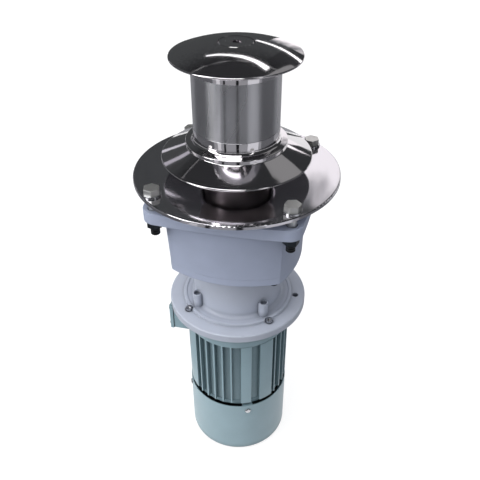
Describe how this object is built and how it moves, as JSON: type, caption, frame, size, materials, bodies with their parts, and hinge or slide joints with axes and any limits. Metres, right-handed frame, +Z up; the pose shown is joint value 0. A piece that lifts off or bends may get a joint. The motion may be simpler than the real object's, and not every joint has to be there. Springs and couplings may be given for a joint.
{
  "type": "deck capstan",
  "caption": "Vertical electric deck capstan: polished drum with domed cap on a round deck plate, planetary gearbox and finned motor below.",
  "frame": {"origin": "centre of the deck plate's underside, which rests on the deck", "axes": "+Z up along the drum's axis, -Y towards the front, -X towards the motor's terminal box"},
  "size_m": [0.268, 0.268, 0.6529],
  "materials": {
    "polished_stainless": "polished",
    "satin_stainless": "satin",
    "zinc_steel": "satin",
    "case_paint": "satin",
    "motor_paint": "satin",
    "gear_steel": "satin",
    "bearing_steel": "polished",
    "seal_rubber": "matt",
    "core_iron": "matt",
    "winding_copper": "gloss",
    "fan_plastic": "matt",
    "board_plastic": "matt",
    "gland_plastic": "matt",
    "stud_brass": "satin"
  },
  "bodies": {
    "housing": {"deck_plate": "polished_stainless", "deck_plate_screws": "satin_stainless", "deck_bolts": "satin_stainless", "deck_bolt_washers": "satin_stainless", "deck_bolt_nuts": "zinc_steel", "gearbox_case": "case_paint", "case_cover": "case_paint", "cover_screws": "zinc_steel", "neck_screws": "zinc_steel", "input_housing": "case_paint", "shaft_column": "case_paint", "column_screws": "zinc_steel", "column_bearing": "bearing_steel", "case_bearing": "bearing_steel", "shaft_seal": "seal_rubber", "output_ring_gear": "gear_steel", "input_ring_gear": "gear_steel", "cover_bearing": "bearing_steel", "oil_plug": "zinc_steel", "motor_end_shield": "motor_paint", "motor_flange_screws": "zinc_steel", "motor_seal": "seal_rubber", "motor_drive_bearing": "bearing_steel", "motor_frame": "motor_paint", "stator_core": "core_iron", "stator_windings": "winding_copper", "motor_fan_bearing": "bearing_steel", "fan_end_shield": "motor_paint", "fan_cowl": "motor_paint", "cowl_screws": "zinc_steel", "terminal_box": "motor_paint", "terminal_box_gasket": "seal_rubber", "terminal_box_lid": "motor_paint", "terminal_box_screws": "zinc_steel", "terminal_board": "board_plastic", "terminal_studs": "stud_brass", "cable_gland": "gland_plastic"},
    "drum": {"output_shaft": "gear_steel", "output_planet_pins": "gear_steel", "drum_barrel": "polished_stainless", "drum_skirt": "polished_stainless", "drum_cap": "polished_stainless", "cap_washer": "polished_stainless", "cap_screw": "polished_stainless", "drum_key": "gear_steel"},
    "intermediate": {"input_carrier": "gear_steel", "output_sun_gear": "gear_steel", "sun_spacer": "gear_steel", "input_planet_pins": "gear_steel"},
    "rotor": {"motor_shaft": "gear_steel", "rotor_core": "core_iron", "cooling_fan": "fan_plastic", "input_sun_gear": "gear_steel"},
    "output_planet_1": {"output_planet_gear_1": "gear_steel"},
    "input_planet_1": {"input_planet_gear_1": "gear_steel"},
    "output_planet_2": {"output_planet_gear_2": "gear_steel"},
    "input_planet_2": {"input_planet_gear_2": "gear_steel"},
    "output_planet_3": {"output_planet_gear_3": "gear_steel"},
    "input_planet_3": {"input_planet_gear_3": "gear_steel"}
  },
  "joints": [
    {"name": "drum_spin", "type": "hinge", "parent": "housing", "child": "drum", "pos_m": [0, 0, 0.09], "axis": [0, 0, 1], "continuous": true},
    {"name": "intermediate_spin", "type": "hinge", "parent": "housing", "child": "intermediate", "pos_m": [0, 0, -0.11], "axis": [0, 0, 1], "continuous": true},
    {"name": "rotor_spin", "type": "hinge", "parent": "housing", "child": "rotor", "pos_m": [0, 0, -0.3], "axis": [0, 0, 1], "continuous": true},
    {"name": "output_planet_1_spin", "type": "hinge", "parent": "drum", "child": "output_planet_1", "pos_m": [0.045, 0, -0.074], "axis": [0, 0, 1], "continuous": true},
    {"name": "output_planet_2_spin", "type": "hinge", "parent": "drum", "child": "output_planet_2", "pos_m": [-0.0225, 0.03897, -0.074], "axis": [0, 0, 1], "continuous": true},
    {"name": "output_planet_3_spin", "type": "hinge", "parent": "drum", "child": "output_planet_3", "pos_m": [-0.0225, -0.03897, -0.074], "axis": [0, 0, 1], "continuous": true},
    {"name": "input_planet_1_spin", "type": "hinge", "parent": "intermediate", "child": "input_planet_1", "pos_m": [0.027, 0, -0.144], "axis": [0, 0, 1], "continuous": true},
    {"name": "input_planet_2_spin", "type": "hinge", "parent": "intermediate", "child": "input_planet_2", "pos_m": [-0.0135, 0.02338, -0.144], "axis": [0, 0, 1], "continuous": true},
    {"name": "input_planet_3_spin", "type": "hinge", "parent": "intermediate", "child": "input_planet_3", "pos_m": [-0.0135, -0.02338, -0.144], "axis": [0, 0, 1], "continuous": true}
  ],
  "couplings": [
    {"joint": "intermediate_spin", "follows": "drum_spin", "ratio": 5},
    {"joint": "rotor_spin", "follows": "drum_spin", "ratio": 30},
    {"joint": "output_planet_1_spin", "follows": "drum_spin", "ratio": -2.6667},
    {"joint": "output_planet_2_spin", "follows": "drum_spin", "ratio": -2.6667},
    {"joint": "output_planet_3_spin", "follows": "drum_spin", "ratio": -2.6667},
    {"joint": "input_planet_1_spin", "follows": "drum_spin", "ratio": -12.5},
    {"joint": "input_planet_2_spin", "follows": "drum_spin", "ratio": -12.5},
    {"joint": "input_planet_3_spin", "follows": "drum_spin", "ratio": -12.5}
  ]
}
